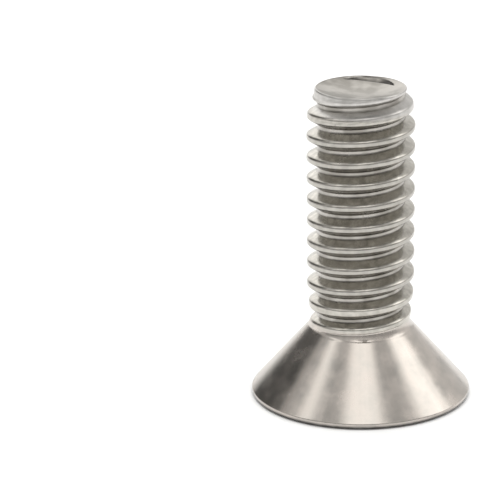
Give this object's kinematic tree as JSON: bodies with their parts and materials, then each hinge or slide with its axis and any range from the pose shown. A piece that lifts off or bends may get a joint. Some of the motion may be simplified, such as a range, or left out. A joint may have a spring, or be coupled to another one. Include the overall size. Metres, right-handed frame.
{
  "type": "countersunk socket screw",
  "caption": "Countersunk socket screw with an 82 degree flat head, a hex socket and a coarse right-hand thread that runs down to the head.",
  "frame": {"origin": "centre of the head's flat face, which is the base the screw stands on", "axes": "+Z along the screw's axis from the head to the tip, +X through a corner of the hex socket"},
  "size_m": [0.0128, 0.0128, 0.0186],
  "materials": {
    "stainless": "bright rolled and machined stainless steel"
  },
  "bodies": {
    "root": {"countersunk_socket_screw": "stainless"}
  },
  "joints": []
}
